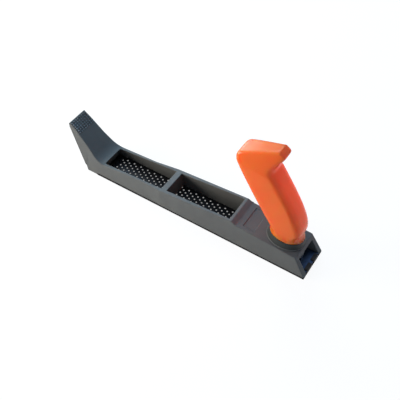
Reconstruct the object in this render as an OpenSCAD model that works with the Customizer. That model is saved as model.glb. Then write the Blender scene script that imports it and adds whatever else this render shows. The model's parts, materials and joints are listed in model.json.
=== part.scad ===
// Rasp plane: a moulded body with a raised toe and two open wells, a punched rasp blade
// that forms the sole, a pistol handle bolted on from below and a screw-driven tensioner.
// Millimetres. X runs from the toe to the heel, Z is up, and the tooth tips stand on z = 0.
// The origin is the bottom centre of the whole tool.

/* [Blade] */
// Length of the rasp blade over its front lip and rear hooks
blade_len = 265.6; // [250:0.2:280]
// Width of the rasp blade
blade_w = 42; // [41.6:0.1:46]
// Thickness of the blade's steel
blade_t = 0.8; // [0.6:0.1:1]
// Height of each tooth below the blade
tooth_h = 1.4; // [1:0.1:1.8]
// Wall of the raised tooth around the rear of each hole
tooth_wall = 0.8; // [0.5:0.1:0.9]
// Diameter of each punched hole
hole_d = 2.3; // [1.8:0.1:2.4]
// Distance between the holes of one row
hole_pitch = 9.57; // [8.5:0.01:12]
// Distance between neighbouring rows
row_pitch = 2.45; // [2.4:0.01:3.5]
// Shift of each row along the blade from the row beside it
row_shift = 4.02; // [3.6:0.01:4.6]
// Bare steel between the front lip and the first hole's centre
front_margin = 3.4; // [3.2:0.1:8]
// Bare steel between the last hole's centre and the blade's rear end
rear_margin = 12; // [9:0.5:20]
// Bare steel between the outer rows and the blade's long edges
side_margin = 3; // [2.4:0.1:5]
// Height of the front lip above the blade
front_lip_h = 4.2; // [3:0.1:5]
// Width of the front lip
front_lip_w = 34; // [28:0.5:35.5]
// Length of the rear hooks' top flaps
hook_len = 4.2; // [3.6:0.1:5]
// Clear height inside the rear hooks
hook_gap = 2; // [1.9:0.05:2.3]
// Width of the notch between the two rear hooks
hook_notch = 4.2; // [2:0.1:6]
// Gap between the rear hooks and the body's end posts
hook_side_gap = 2.3; // [0.5:0.1:3]

/* [Body] */
// How far the body's foot stands out on each side of the blade
foot_margin = 0; // [0:0.1:1]
// Lean of the side walls in degrees, from the bridge to the heel
rear_lean = 4.5; // [2:0.1:5]
// Lean of the side walls at the front well's rim and at the toe's foot
front_lean = 10.8; // [7:0.1:11.4]
// Lean of the side walls at the toe's tip
tip_lean = 8.1; // [6:0.1:9.6]
// Distance from the sole's front end to the front well's rim
toe_pad = 22.8; // [20:0.1:30]
// How far the blade runs on in front of the front well's rim
blade_lead = 9.3; // [8:0.1:10.5]
// How far the front well runs on under the toe at the blade
well_lead = 7.6; // [4:0.1:7.8]
// Height of the toe pad above the tooth tips
pad_h = 0.5; // [0.3:0.1:1]
// Share of the wells' joint length that the front well takes
well_1_share = 0.494; // [0.4:0.001:0.6]
// Thickness of the bridge between the wells
bridge_t = 7; // [5:0.5:12]
// Half width of the wells at the rim's front end
well_front_half = 13.8; // [11:0.1:15]
// Half width of the wells at the rim's rear end
well_rear_half = 15.75; // [12:0.05:16.5]
// Half width of the wells at the blade
well_foot_half = 18.2; // [16.5:0.1:18.6]
// Flat rim behind the rear well
rim_end = 3.2; // [2:0.1:6]
// Length of the sloped step from the rim to the deck
step_len = 5.4; // [3:0.1:9]
// Length of the deck behind the step
deck_len = 69.9; // [64:0.1:80]
// Length of the sloped heel end
heel_run = 12.9; // [10:0.1:16]
// Height of the rim at its front end
rim_front_h = 17.45; // [15:0.05:20]
// Height of the rim at its rear end
rim_rear_h = 31.7; // [30.5:0.1:34]
// Height of the deck at the foot of the step
deck_front_h = 28.85; // [28:0.05:30]
// Height of the deck at its rear end
deck_rear_h = 24.1; // [23:0.1:26]
// Thickness of the deck
deck_t = 4; // [3:0.1:4.4]
// Wall between the rear well and the heel cavity
cavity_wall = 3.5; // [2.5:0.1:5]
// Half width of the heel cavity under the deck
cavity_top_half = 15.5; // [14.5:0.1:16]
// Half width of the heel cavity at the blade
cavity_foot_half = 17; // [16.6:0.1:17.8]
// How far the cavity's front wall leans to the rear up to the deck
cavity_lean = 4.2; // [2:0.1:4.6]
// Half width of the opening in the heel under the deck
heel_top_half = 14; // [12.6:0.1:14.4]
// Half width of the opening in the heel at the blade
heel_foot_half = 14.6; // [13.6:0.1:15.4]

/* [Toe] */
// How far the toe's tip stands out in front of the sole
toe_reach = 25.7; // [20:0.1:32]
// Height of the toe's tip
toe_h = 56.1; // [50:0.1:62]
// Length of the flatter crest behind the tip
crest_run = 8.3; // [5:0.1:12]
// Slope of the crest in degrees
crest_slope = 39.7; // [30:0.1:44]
// Slope of the toe's long top face in degrees
toe_slope = 46.4; // [44:0.1:52]
// Width of the blunt edge at the tip
tip_edge = 2.8; // [2:0.1:5]
// Radius of the tip's two corners
tip_corner_r = 2.5; // [2:0.5:8]
// Hollow of the toe's front face from a straight line
front_hollow = 0.8; // [0:0.1:2]
// Radius of the hollow where the toe runs into the rim
toe_fillet_r = 21; // [12:0.5:26]
// Number of grip studs across the toe
stud_columns = 8; // [5:1:8]
// Number of grip stud rows along the toe
stud_rows = 6; // [3:1:6]
// Distance between stud columns
stud_pitch_y = 3.2; // [2.8:0.1:3.3]
// Distance between stud rows
stud_pitch_x = 2.7; // [2.5:0.1:3]
// Diameter of each grip stud
stud_d = 2.1; // [1.5:0.1:2.4]
// Height of each grip stud
stud_h = 0.5; // [0.3:0.1:0.8]
// Distance from the tip to the first stud row
stud_inset = 2.6; // [2.2:0.1:4]

/* [Deck] */
// Distance from the foot of the step to the shallow panel
panel_gap = 6.5; // [4:0.1:10]
// Length of the shallow panel
panel_len = 13; // [8:0.5:16]
// Width of the shallow panel
panel_w = 28; // [16:0.5:30]
// Depth of the shallow panel
panel_depth = 0.6; // [0.3:0.1:1]
// Distance from the deck's rear end to the handle's centre
seat_setback = 20.6; // [19:0.1:26]
// Height of the collar between the deck and the handle
collar_h = 7.8; // [6:0.1:10]
// Step by which the collar stands out around the handle's foot
collar_step = 1.6; // [0.5:0.1:2]
// Height of the bead around the collar's foot
bead_h = 1.3; // [0.8:0.1:2]
// How far the bead stands out around the collar
bead_step = 0.5; // [0.2:0.1:0.8]
// Depth of the collar's locating spigot in the deck
spigot_h = 1.5; // [1:0.1:2]
// Rim of the collar around its spigot
spigot_inset = 4; // [3:0.5:6]

/* [Handle] */
// Length of the handle's foot
foot_len = 38.1; // [34:0.1:40]
// Width of the handle's foot
foot_w = 29.5; // [26:0.1:31]
// Height of the handle's flared foot
foot_h = 8.8; // [7:0.1:11]
// Height of the grip from the flared foot to the brow's corner
grip_h = 76.4; // [68:0.1:84]
// Forward lean of the grip in degrees
grip_lean = 35.2; // [28:0.1:38]
// How far the grip's front bows out in front of a straight line
grip_bow = 1.3; // [0:0.1:3]
// How far the grip's front stands back from the foot's edge
foot_inset = 3.4; // [1:0.1:4]
// Depth of the grip from front to rear at its foot
grip_foot_depth = 30.9; // [28:0.1:34]
// Depth from the brow's corner to the neck under the beak
neck_depth = 44.4; // [40:0.1:46]
// Drop of the neck below the brow's corner
neck_drop = 0.8; // [0.4:0.1:4]
// How far the grip's back bulges out behind a straight line
grip_belly = 9; // [4:0.1:10]
// Place of that bulge, where a smaller share moves it towards the foot
belly_share = 0.63; // [0.5:0.01:1]
// Half width of the grip above its flared foot
grip_foot_half = 12.9; // [12:0.1:14.5]
// Half width of the grip at the brow
grip_top_half = 13.1; // [11:0.1:14]
// Length of the flat top face from the brow's corner to the beak
top_len = 50.1; // [45:0.1:54]
// Slope of the flat top face in degrees
top_slope = 27; // [20:0.1:32]
// Half width of the flat top face at the brow
top_front_half = 9; // [7:0.1:10]
// Half width of the flat top face at the beak
top_rear_half = 4.2; // [3:0.1:5.5]
// Height of the beak's blunt end
beak_h = 4.5; // [3:0.1:6]
// How far the beak's end leans over its height
beak_lean = 6.8; // [3:0.1:8]
// Radius of the brow between the grip and the top face
brow_r = 9.6; // [5:0.1:11]
// Radius of the rounding along the flat top face's edges
top_edge_r = 2; // [1:0.1:3]
// Widening of the head's sides per millimetre below the top face
side_flare = 0.18; // [0.1:0.01:0.24]
// Inward reach of the rounding along the grip's front
front_r = 5; // [3:0.1:8]
// Length of that rounding along the grip's sides
front_len = 7.2; // [4:0.1:10]
// Inward reach of the rounding along the grip's back
rear_r = 12.6; // [8:0.1:12.8]
// Length of that rounding along the grip's sides
rear_len = 10.7; // [8:0.1:14]
// Fullness of that rounding, where 2 is an ellipse
rear_full = 2.17; // [1.8:0.01:2.6]
// Wall of the hollow handle
handle_wall = 3.6; // [3:0.1:5]
// Diameter of the screw boss inside the handle
boss_d = 15; // [13:0.5:18]
// Height of the screw boss inside the handle
boss_h = 26; // [22:0.5:34]

/* [Fasteners] */
// Shank diameter of the handle bolt
bolt_d = 6; // [5:0.5:6]
// Width across the flats of the handle bolt's head
bolt_head_af = 10; // [9:0.5:11]
// Height of the handle bolt's head
bolt_head_h = 4; // [3:0.1:4.2]
// Clearance hole around the handle bolt
bolt_hole_d = 6.6; // [6.3:0.1:7.4]
// Outer diameter of the flat washer under the bolt's head
washer_d = 12; // [11:0.5:14]
// Thickness of the flat washer
washer_t = 1.6; // [1:0.1:1.6]
// Outer diameter of the spring washer
spring_washer_d = 11; // [10:0.5:12]
// Thickness of the spring washer
spring_washer_t = 1.5; // [1:0.1:1.5]
// Outer diameter of the threaded insert in the handle
insert_d = 9; // [8:0.1:10]
// Length of the threaded insert
insert_len = 12; // [10:0.5:14]
// Height of the insert above the handle's foot
insert_z = 6; // [4:0.5:9]

/* [Tensioner] */
// Height of the tension screw's axis above the tooth tips
screw_z = 8.6; // [8.4:0.1:9]
// Shank diameter of the tension screw
screw_d = 5; // [4:0.5:5]
// Head diameter of the tension screw
screw_head_d = 8.4; // [7:0.1:8.6]
// Head height of the tension screw
screw_head_h = 3.6; // [3:0.1:4]
// Length of the tension screw under its head
screw_len = 17; // [16.4:0.1:19]
// Width of the screwdriver slot
slot_w = 1.2; // [0.8:0.1:1.6]
// Depth of the screwdriver slot
slot_depth = 1.8; // [1.2:0.1:2]
// Thickness of the tension screw's washer
screw_washer_t = 1; // [0.8:0.1:1.4]
// Diameter of the tension screw's washer
screw_washer_d = 9; // [8.6:0.1:9]
// Thickness of the web that holds the tension screw
web_t = 3.5; // [3:0.1:5]
// Distance from the web's rear face to the blade's rear end
web_setback = 17.4; // [16:0.1:20]
// Thickness of the tension slide's steel
slide_t = 1.5; // [1.2:0.1:1.6]
// Gap above and below the tension slide
slide_gap = 0.2; // [0.15:0.01:0.3]
// Gap beside the tension slide
slide_side_gap = 0.5; // [0.2:0.05:0.6]
// Gap between the slide's upright and the web
lug_gap = 3; // [2.6:0.1:4]
// Width of the slide's upright
lug_w = 18; // [12:0.5:22]
// Clearance hole for the screw in the slide's upright
lug_hole_d = 5.8; // [5.6:0.1:6.4]
// Width across the flats of the square tension nut
nut_af = 8; // [7.6:0.1:8]
// Thickness of the square tension nut
nut_t = 2.5; // [2:0.1:3]

/* [Fits] */
// Radial running clearance of the tension screw
run_gap = 0.05; // [0.02:0.01:0.1]
// Gap that keeps the blade's front lip free in its slot
lip_gap = 0.15; // [0.05:0.05:0.3]
// Thickness of the catch behind the blade's front lip
catch_t = 1.9; // [1.6:0.1:2.2]
// Gap between the collar's spigot and the deck
spigot_gap = 0.1; // [0.05:0.01:0.3]
// Gap behind the edge where the slide pushes the blade's hooks
push_gap = 0.02; // [0.01:0.01:0.05]

/* [Hidden] */
$fn = 48;
// Overlap that keeps cuts clear of the faces that they pass through
eps = 0.1;
// Width of the body at its foot
sole_w = blade_w + 2 * foot_margin;
// Stations along X, counted from the sole's front corner
sole_len = toe_pad - blade_lead + blade_len;
wells_len = sole_len - toe_pad - bridge_t - rim_end - step_len - deck_len - heel_run;
well_1_len = wells_len * well_1_share;
well_2_len = wells_len - well_1_len;
sole_x = toe_reach - (toe_reach + sole_len) / 2;
heel_x = sole_x + sole_len;
tip_x = sole_x - toe_reach;
well_1_x = sole_x + toe_pad;
bridge_x = well_1_x + well_1_len;
well_2_x = bridge_x + bridge_t;
well_2_end = well_2_x + well_2_len;
rim_x = well_2_end + rim_end;
deck_x = rim_x + step_len;
deck_end = deck_x + deck_len;
blade_x = heel_x - blade_len;
seat_x = deck_end - seat_setback;
// Levels and slopes
blade_top = tooth_h + blade_t;
rim_slope = (rim_rear_h - rim_front_h) / (rim_x - well_1_x);
deck_slope = atan((deck_front_h - deck_rear_h) / deck_len);
seat_z = deck_front_h - (seat_x - deck_x) * tan(deck_slope);
// Tensioner stations
web_rear = heel_x - web_setback;
web_front = web_rear - web_t;
lug_x = web_front - lug_gap - slide_t;
slide_z = blade_top + slide_gap;
hook_top = blade_top + hook_gap;
slide_half = heel_foot_half - slide_side_gap;
hook_half = heel_foot_half - hook_side_gap;
hook_bend_r = blade_t * 1.5;
// Steel grey used by the hardware
STEEL = [0.62, 0.64, 0.66];
GREY = [0.36, 0.37, 0.35];

function unit(v) = v / norm(v);
function mix(a, b, t) = a + (b - a) * t;
function rim_at(x) = rim_front_h + rim_slope * (x - well_1_x);
function deck_at(x) = deck_front_h - (x - deck_x) * tan(deck_slope);
function well_half(x) = mix(well_front_half, well_rear_half, (x - well_1_x) / (rim_x - well_1_x));

// Arc of radius r that rounds the corner b between the points a and c
function corner(a, b, c, r, steps = 10) =
    let (u = unit(a - b), v = unit(c - b), half = acos(u * v) / 2)
    let (mid = b + unit(u + v) * r / sin(half), p = b + u * r / tan(half) - mid)
    let (side = sign(u[0] * v[1] - u[1] * v[0]), sweep = side * (half * 2 - 180))
    [for (i = [0:steps]) let (t = sweep * i / steps)
        mid + [p[0] * cos(t) - p[1] * sin(t), p[0] * sin(t) + p[1] * cos(t)]];

// Points of an oval with the half axes a and b
function oval(a, b, n = 60) = [for (i = [0:n - 1]) [a * cos(360 * i / n), b * sin(360 * i / n)]];

// Extrudes a side outline, drawn as X and Z, over a width centred on Y
module side_plate(points, w)
    rotate([90, 0, 0])
        linear_extrude(w, center = true)
            polygon(points);

// Places its children on the deck at the handle's centre, square to the deck
module at_seat(z = 0)
    translate([seat_x, 0, seat_z])
        rotate([0, deck_slope, 0])
            translate([0, 0, z])
                children();

// Places its children on the tension screw's axis with local Z along +X
module on_screw(x)
    translate([x, 0, screw_z])
        rotate([0, 90, 0])
            children();

// Outline of the toe's top face, from the tip to the rim
tip_top = [tip_x + tip_edge * sin(crest_slope), toe_h];
tip_low = tip_top - tip_edge * [sin(crest_slope), cos(crest_slope)];
crest_end = tip_top + crest_run * [1, -tan(crest_slope)];
toe_root_x = (crest_end[1] + tan(toe_slope) * crest_end[0] - rim_front_h + rim_slope * well_1_x)
    / (rim_slope + tan(toe_slope));
toe_root = [toe_root_x, rim_at(toe_root_x)];
front_foot = [sole_x, pad_h];
front_mid = (front_foot + tip_low) / 2 - front_hollow * [1, 0];

module body_block()
    intersection() {
        side_plate(concat(
            [front_foot, front_mid, tip_low, tip_top, crest_end],
            corner(crest_end, toe_root, [rim_x, rim_rear_h], toe_fillet_r),
            [[rim_x, rim_rear_h]],
            corner([rim_x, rim_rear_h], [deck_x, deck_front_h], [deck_end, deck_rear_h], step_len),
            [[deck_end, deck_rear_h], [heel_x, blade_top], [blade_x - lip_gap, blade_top],
                [blade_x - lip_gap, pad_h]]), sole_w * 2);
        between_sides();
    }

// Solid between the two side walls, whose lean changes along the body
module between_sides() {
    high = toe_h + 1;
    foot = sole_w / 2;
    stations = [[tip_x - 1, tip_lean], [sole_x, front_lean], [well_1_x, front_lean],
        [bridge_x, rear_lean], [heel_x + 1, rear_lean]];
    last = 4 * (len(stations) - 1);
    polyhedron(
        points = [for (s = stations) let (x = s[0], top = foot - high * tan(s[1]))
            each [[x, -foot, 0], [x, foot, 0], [x, top, high], [x, -top, high]]],
        faces = concat([[0, 1, 2, 3], [last + 3, last + 2, last + 1, last]],
            [for (a = [0:4:last - 4]) each [[a, a + 4, a + 5, a + 1], [a + 1, a + 5, a + 2],
                [a + 2, a + 5, a + 6], [a + 3, a + 2, a + 6, a + 7], [a, a + 3, a + 4],
                [a + 3, a + 7, a + 4]]]));
}

// One open well, wider at the blade than at the rim, with its front wall undercut by lead
module well(x_a, x_b, lead = 0) {
    low = blade_top - eps * 10;
    function top(x) = rim_at(x) + 1;
    function top_half(x) = well_foot_half + (well_half(x) - well_foot_half)
        * (top(x) - low) / (rim_at(x) - low);
    polyhedron(
        points = [for (x = [x_a, x_b]) let (foot = x == x_a ? x - lead : x)
            each [[foot, -well_foot_half, low], [foot, well_foot_half, low],
                [x, top_half(x), top(x)], [x, -top_half(x), top(x)]]],
        faces = [[0, 1, 2, 3], [7, 6, 5, 4], [0, 4, 5, 1], [3, 2, 6], [3, 6, 7],
            [1, 5, 6], [1, 6, 2], [0, 3, 7], [0, 7, 4]]);
}

// The heel cavity under the deck, with its screw web, end posts and bolt boss left standing
module heel_cavity() {
    cavity_x = well_2_end + cavity_wall;
    ceiling = deck_t / cos(deck_slope);
    difference() {
        intersection() {
            side_plate([[cavity_x, -eps], [cavity_x + cavity_lean, deck_at(deck_x) - ceiling],
                [deck_x, deck_at(deck_x) - ceiling], [heel_x + 1, deck_at(heel_x + 1) - ceiling],
                [heel_x + 1, -eps]], sole_w);
            rotate([90, 0, 90])
                linear_extrude(sole_len * 2, center = true)
                    polygon([[-cavity_foot_half, -eps], [cavity_foot_half, -eps],
                        [cavity_foot_half, blade_top], [cavity_top_half, deck_rear_h],
                        [cavity_top_half, deck_front_h], [-cavity_top_half, deck_front_h],
                        [-cavity_top_half, deck_rear_h], [-cavity_foot_half, blade_top]]);
        }
        translate([web_front, -sole_w / 2, hook_top])
            cube([web_t, sole_w, deck_front_h]);
        for (side = [0, 1])
            mirror([0, side, 0])
                translate([web_front, 0, 0])
                    rotate([90, 0, 90])
                        linear_extrude(heel_x + 2 - web_front)
                            polygon([[heel_foot_half, -1], [heel_foot_half, blade_top],
                                [heel_top_half, deck_front_h], [sole_w, deck_front_h],
                                [sole_w, -1]]);
        at_seat(-deck_t - 1)
            cylinder(h = deck_t, d = washer_d + 2);
    }
}

// Space outside the two rounded corners of the tip, seen from above
module tip_corners() {
    tip_half = sole_w / 2 - toe_h * tan(tip_lean);
    tip = [tip_x, tip_half];
    for (side = [0, 1])
        mirror([0, side, 0])
            linear_extrude(toe_h * 2)
                polygon(concat(corner([tip_x, 0], tip, [sole_x, sole_w / 2], tip_corner_r, 8),
                    [tip + [-tip_corner_r, tip_corner_r]]));
}

// Grip studs on the crest and the top of the toe's long face
module toe_studs()
    for (i = [0:stud_rows - 1], j = [0:stud_columns - 1]) {
        run = stud_inset + i * stud_pitch_x;
        crest = norm(crest_end - tip_top);
        on_crest = run < crest;
        slope = on_crest ? crest_slope : toe_slope;
        start = on_crest ? tip_top : crest_end;
        spot = start + (on_crest ? run : run - crest) * [cos(slope), -sin(slope)];
        translate([spot[0], (j - (stud_columns - 1) / 2) * stud_pitch_y, spot[1]])
            rotate([0, slope, 0])
                translate([0, 0, -eps])
                    cylinder(h = stud_h + eps, d = stud_d, $fn = 24);
    }

module body()
    color(GREY)
        difference() {
            union() {
                difference() {
                    body_block();
                    well(well_1_x, bridge_x, well_lead);
                    well(well_2_x, well_2_end);
                    heel_cavity();
                    tip_corners();
                }
                // Catch that the blade's front lip pulls against
                translate([blade_x - catch_t, -well_foot_half, blade_top])
                    cube([blade_t + lip_gap * 2 + catch_t * 2, well_foot_half * 2,
                        front_lip_h + catch_t]);
                toe_studs();
            }
            translate([blade_x - lip_gap, -front_lip_w / 2 - lip_gap, 0])
                cube([blade_t + lip_gap, front_lip_w + lip_gap * 2,
                    blade_top + front_lip_h + lip_gap]);
            at_seat(-spigot_h - spigot_gap)
                linear_extrude(spigot_h * 2)
                    polygon(oval(foot_len / 2 - spigot_inset + spigot_gap,
                        foot_w / 2 - spigot_inset + spigot_gap));
            at_seat(-deck_t * 2)
                cylinder(h = deck_t * 3, d = bolt_hole_d);
            on_screw(web_front - 1)
                cylinder(h = web_t + 2, d = screw_d + run_gap * 2);
            translate([deck_x + panel_gap, 0, deck_at(deck_x + panel_gap)])
                rotate([0, deck_slope, 0])
                    translate([0, -panel_w / 2, -panel_depth])
                        cube([panel_len, panel_w, panel_depth * 3]);
        }

// Holes of row r, counted from the middle row towards +Y, that lie on the punched field
function row_holes(r) =
    let (first = blade_x + front_margin, last = heel_x - rear_margin)
    let (start = first + (((-r * row_shift) % hole_pitch) + hole_pitch) % hole_pitch)
    [for (x = [start:hole_pitch:last]) [x, r * row_pitch]];

rows_each_side = floor((blade_w / 2 - side_margin) / row_pitch);
holes = [for (r = [-rows_each_side:rows_each_side]) each row_holes(r)];

module rasp_blade()
    color([0.1, 0.1, 0.11]) {
        translate([0, 0, tooth_h])
            linear_extrude(blade_t)
                difference() {
                    translate([blade_x, -blade_w / 2])
                        square([blade_len - hook_bend_r, blade_w]);
                    translate([heel_x - hook_len, -hook_notch / 2])
                        square([hook_len, hook_notch]);
                    for (p = holes)
                        translate(p)
                            circle(d = hole_d, $fn = 20);
                }
        // Raised half rings behind the holes, with their cutting edges towards the toe
        linear_extrude(tooth_h)
            for (p = holes)
                translate(p)
                    difference() {
                        circle(d = hole_d + tooth_wall * 2, $fn = 20);
                        circle(d = hole_d, $fn = 20);
                        translate([-hole_d * 4, -hole_d * 2])
                            square(hole_d * 4);
                    }
        // Front lip turned up into the body
        translate([blade_x, -front_lip_w / 2, tooth_h])
            cube([blade_t, front_lip_w, blade_t + front_lip_h]);
        // Rear hooks turned up and folded back over the tension slide
        for (side = [0, 1])
            mirror([0, side, 0])
                side_plate_at(hook_notch / 2, hook_half, hook_outline());
    }

function hook_outline() =
    let (x_a = heel_x - hook_len, z_top = hook_top + blade_t, r = hook_bend_r)
    concat([[x_a - eps, tooth_h], [x_a - eps, blade_top], [heel_x - blade_t, blade_top],
        [heel_x - blade_t, hook_top], [x_a, hook_top], [x_a, z_top]],
        corner([x_a, z_top], [heel_x, z_top], [heel_x, tooth_h], r, 5),
        corner([heel_x, z_top], [heel_x, tooth_h], [x_a, tooth_h], r, 5));

// Extrudes a side outline between two Y positions
module side_plate_at(y_a, y_b, points)
    translate([0, (y_a + y_b) / 2, 0])
        side_plate(points, y_b - y_a);

// The collar's wall, drawn in by collar_step from the deck to the handle's foot
module handle_collar()
    color(GREY)
        at_seat()
            difference() {
                union() {
                    hull() {
                        linear_extrude(eps)
                            polygon(oval(foot_len / 2 + collar_step, foot_w / 2 + collar_step));
                        translate([0, 0, collar_h - eps])
                            linear_extrude(eps)
                                polygon(oval(foot_len / 2, foot_w / 2));
                    }
                    hull()
                        for (i = [0:4])
                            translate([0, 0, bead_h * (0.5 - 0.5 * cos(45 * i)) * 0.9])
                                linear_extrude(bead_h * 0.1)
                                    polygon(oval(
                                        foot_len / 2 + collar_step + bead_step * sin(45 * i),
                                        foot_w / 2 + collar_step + bead_step * sin(45 * i)));
                    translate([0, 0, -spigot_h])
                        linear_extrude(spigot_h + eps)
                            polygon(oval(foot_len / 2 - spigot_inset, foot_w / 2 - spigot_inset));
                }
                translate([0, 0, -spigot_h - 1])
                    cylinder(h = collar_h + spigot_h + 2, d = bolt_hole_d);
            }

// Side outline of the handle, in its own frame: U along the deck and V up from its foot
foot_front = -foot_len / 2;
notch_u = foot_front + foot_inset;
rear_u = notch_u + grip_foot_depth;
brow = [notch_u - grip_h * tan(grip_lean), foot_h + grip_h];
beak_top = brow + top_len * [cos(top_slope), sin(top_slope)];
beak_low = beak_top + [beak_lean, -beak_h];
neck = [brow[0] + neck_depth, brow[1] - neck_drop];

// Front edge as [V, U] pairs, from the foot over the brow to the beak
function front_line(t) = [mix(notch_u, brow[0], t) - grip_bow * sin(180 * t), mix(foot_h, brow[1], t)];
line_end = 1 - 1.2 * brow_r * cos(grip_lean) / grip_h;
front_edge = concat(
    [[0, foot_front], [foot_h * 0.45, mix(foot_front, notch_u, 0.55)], [foot_h * 0.85, notch_u + 0.1]],
    [for (i = [0:7]) let (p = front_line(mix(0.04, line_end - 0.06, i / 7))) [p[1], p[0]]],
    [for (p = corner(front_line(line_end - 0.04), brow, beak_top, brow_r, 8)) [p[1], p[0]]],
    [[beak_top[1], beak_top[0]]]);

// Rear edge as [V, U] pairs: foot, belly, neck and the underside of the beak
function belly(t) = grip_belly * sin(180 * pow(t, belly_share));
rear_edge = concat(
    [[0, foot_len / 2], [foot_h * 0.5, mix(foot_len / 2, rear_u, 0.65)]],
    [for (t = [0:0.125:1]) [mix(foot_h, neck[1] - 4, t), mix(rear_u, neck[0] + 0.4, t) + belly(t)]],
    [[neck[1], neck[0]], [neck[1] + 3, neck[0] + 0.5], [neck[1] + 7, mix(neck[0], beak_low[0], 0.28)],
        [beak_low[1], beak_low[0]], [beak_top[1], beak_top[0] + 0.3]]);

// Half width of the flat top face, and of the handle's side below that face
function top_share(u) = min(1, (u - brow[0]) / (beak_top[0] - brow[0]));
function below_top(u, v) = mix(brow[1], beak_top[1], top_share(u)) - v;
function flat_half(u) = mix(top_front_half, top_rear_half, top_share(u - brow_r));
function grip_half(v) = lookup(v, [[0, foot_w / 2], [foot_h * 0.5, mix(foot_w / 2, grip_foot_half, 0.7)],
    [foot_h, grip_foot_half], [foot_h * 5, mix(grip_foot_half, grip_top_half, 0.75)],
    [neck[1], grip_top_half]]);
function side_at(u, v) = min(grip_half(v), flat_half(u) + top_edge_r + max(0, below_top(u, v)) * side_flare);
function ease(t, full) = t >= 1 ? 1 : pow(1 - pow(1 - max(t, 0), full), 1 / full);

// Shares by which a section at height v belongs to the grip and not to the foot, and to the head
brow_low = brow[1] - brow_r * 1.5;
brow_high = brow[1] + brow_r / 2;
function in_grip(v) = lookup(v, [[0, 0], [foot_h, 1]]);
function in_brow(v) = lookup(v, [[brow_low, 0], [brow_high, 1]]);
function in_beak(v) = lookup(v, [[neck[1] - 3, 0], [beak_low[1], 1]]);

// Half widths of a section's blunt front and rear ends, where its sides are w apart from the middle
function front_flat(v, w) = mix(max(w - mix(foot_w / 2, front_r, in_grip(v)), 0.3),
    min(w, lookup(v, [[brow[1] - brow_r, 0], [brow_high, top_front_half], [beak_top[1], top_rear_half]])),
    in_brow(v));
function rear_flat(v, w) = mix(max(w - mix(foot_w / 2, rear_r, in_grip(v)), 0.3),
    min(w, lookup(v, [[beak_low[1], top_rear_half], [beak_top[1], top_rear_half / 2]])), in_beak(v));
function front_run(v) = mix(mix(foot_len / 2, front_len, in_grip(v)), top_edge_r * 2, in_brow(v));
function rear_run(v) = mix(mix(foot_len / 2, rear_len, in_grip(v)), top_edge_r * 1.5, in_beak(v));

// Half outline of the handle at height v, drawn in by a wall
function handle_half(v, wall, n) =
    let (f = lookup(v, front_edge) + wall, r = max(lookup(v, rear_edge) - wall, f + 0.5))
    let (full = mix(2, rear_full, in_grip(v)))
    [for (i = [0:n]) let (u = mix(f, r, 0.5 - 0.5 * cos(180 * i / n)))
        let (w = max(side_at(u, v) - wall, 0.5), a = min(front_flat(v, w), w), b = min(rear_flat(v, w), w))
        [u, min(a + (w - a) * ease((u - f) / front_run(v), 2),
            b + (w - b) * ease((r - u) / rear_run(v), full))]];

function handle_ring(v, wall, n) =
    let (half = handle_half(v, wall, n))
    concat([for (p = half) [p[0], p[1], v]], [for (i = [n:-1:0]) [half[i][0], -half[i][1], v]]);

// Solid through the handle's sections at the given heights
module handle_loft(levels, wall, n) {
    k = 2 * (n + 1);
    last = len(levels) - 1;
    polyhedron(
        points = [for (v = levels) each handle_ring(v, wall, n)],
        faces = concat([[for (i = [k - 1:-1:0]) i]],
            [for (j = [0:last - 1], i = [0:k - 1]) let (a = j * k + i, b = j * k + (i + 1) % k)
                each [[a, b, a + k], [b, b + k, a + k]]],
            [[for (i = [0:k - 1]) last * k + i]]));
}

handle_top = beak_top[1] - 0.3;
outer_levels = concat([for (t = [0, 0.25, 0.5, 0.85, 1]) foot_h * t],
    [for (t = [0.05:0.125:0.925]) mix(foot_h, brow_low, t)],
    [for (i = [0:6]) mix(brow_low, brow_high, i / 6)],
    [for (i = [1:6]) mix(brow_high, beak_low[1], i / 6)],
    [mix(beak_low[1], handle_top, 0.5), handle_top]);
inner_levels = [for (t = [0:0.125:1]) mix(-eps, brow[1] - handle_wall, t)];

module handle()
    color([0.91, 0.36, 0.17])
        at_seat(collar_h)
            difference() {
                handle_loft(outer_levels, 0, 12);
                difference() {
                    handle_loft(inner_levels, handle_wall, 8);
                    translate([0, 0, -1])
                        cylinder(h = boss_h + 1, d = boss_d);
                    translate([-foot_len / 2, -1.5, -1])
                        cube([foot_len, 3, boss_h + 1]);
                }
                translate([0, 0, -1])
                    cylinder(h = insert_z + insert_len + 5, d = bolt_hole_d);
                translate([0, 0, insert_z])
                    cylinder(h = insert_len, d = insert_d);
            }

module handle_insert()
    color([0.78, 0.62, 0.3])
        at_seat(collar_h + insert_z)
            difference() {
                cylinder(h = insert_len, d = insert_d);
                translate([0, 0, -1])
                    cylinder(h = insert_len + 2, d = bolt_d);
            }

// Underside of the boss that the bolt's washers press on
boss_face = -deck_t - 1;

module handle_bolt()
    color(STEEL) {
        head_z = boss_face - washer_t - spring_washer_t - bolt_head_h;
        at_seat(head_z)
            cylinder(h = bolt_head_h, d = bolt_head_af / cos(30), $fn = 6);
        at_seat(head_z + bolt_head_h / 2)
            cylinder(h = collar_h + insert_z + insert_len + 2 - head_z - bolt_head_h / 2, d = bolt_d);
    }

module ring(h, d_out, d_in)
    difference() {
        cylinder(h = h, d = d_out);
        translate([0, 0, -1])
            cylinder(h = h + 2, d = d_in);
    }

module bolt_washer()
    color(STEEL)
        at_seat(boss_face - washer_t)
            ring(washer_t, washer_d, bolt_d + 0.4);

// Split ring: the cut runs through one side
module bolt_spring_washer()
    color(STEEL)
        at_seat(boss_face - washer_t - spring_washer_t)
            difference() {
                ring(spring_washer_t, spring_washer_d, bolt_d + 0.3);
                rotate([35, 0, 0])
                    translate([bolt_d / 2, -0.4, -5])
                        cube([spring_washer_d, 0.8, 10]);
            }

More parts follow.
